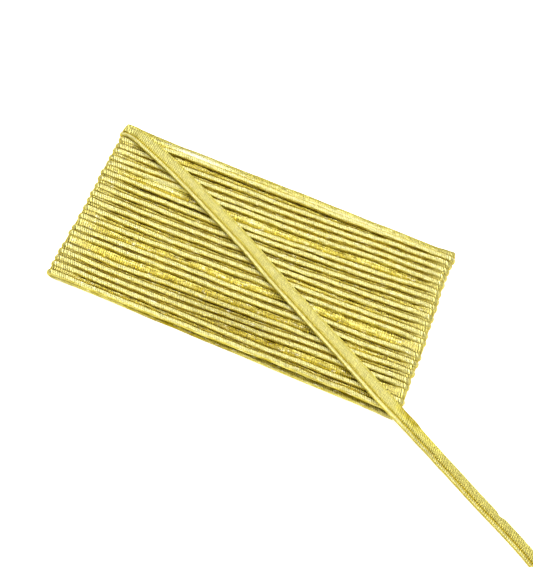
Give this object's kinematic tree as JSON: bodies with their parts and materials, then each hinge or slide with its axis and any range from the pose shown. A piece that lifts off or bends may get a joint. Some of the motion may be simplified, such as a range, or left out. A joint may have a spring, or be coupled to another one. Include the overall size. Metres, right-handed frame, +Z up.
{
  "type": "piping cord trim bundle",
  "caption": "Metallic flanged piping cord wound into a flat oblong bundle, with one loose end lying across it and off its corner.",
  "frame": {"origin": "on the flat underside of the wound bundle, near the middle of its length and width", "axes": "+X along the bundle towards the end near which the loose end leaves it, +Y across it away from that corner, +Z up from the surface it lies on"},
  "size_m": [0.3834, 0.1839, 0.0155],
  "materials": {
    "winding": "pale gold metallic ribbon with fine cross ribs",
    "loose_end": "pale gold metallic ribbon with fine cross ribs"
  },
  "bodies": {
    "root": {"winding": "winding", "loose_end": "loose_end"}
  },
  "joints": []
}
